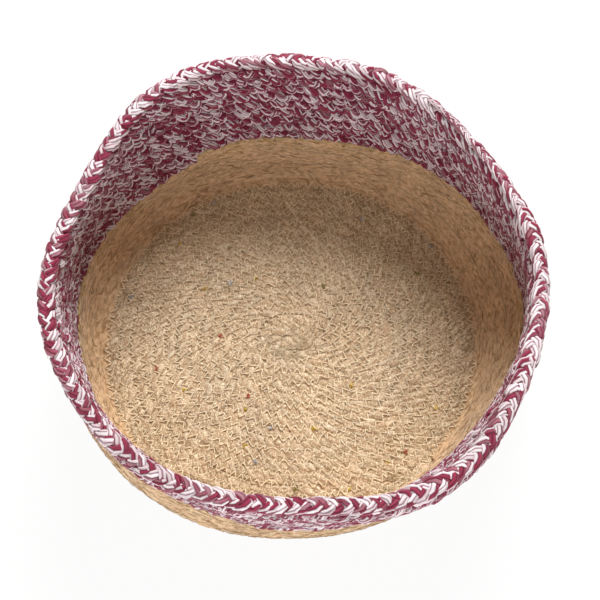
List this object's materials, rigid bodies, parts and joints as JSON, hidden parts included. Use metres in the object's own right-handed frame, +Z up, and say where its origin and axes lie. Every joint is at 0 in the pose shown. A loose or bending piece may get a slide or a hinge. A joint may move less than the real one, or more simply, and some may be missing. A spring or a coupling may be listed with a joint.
{
  "type": "round braided basket",
  "caption": "Round open basket of braided jute cord coiled and sewn into a flat floor and soft wall, with a braided burgundy and white upper wall and rim; no handles or lid",
  "frame": {"origin": "On the underside of the floor, below the straight start of the coil in the middle of the floor", "axes": "+Z up through the open top; -Y towards the front of the picture, where the wall is pressed in; +X to its right"},
  "size_m": [0.3185, 0.3057, 0.1396],
  "materials": {
    "jute": "matte natural fibre",
    "coloured_yarn": "matte mixed burgundy and white yarn"
  },
  "bodies": {
    "root": {"jute_floor_coil": "jute", "jute_wall_coil": "jute", "coloured_wall_coil": "coloured_yarn", "coloured_rim_coil": "coloured_yarn"}
  },
  "joints": []
}
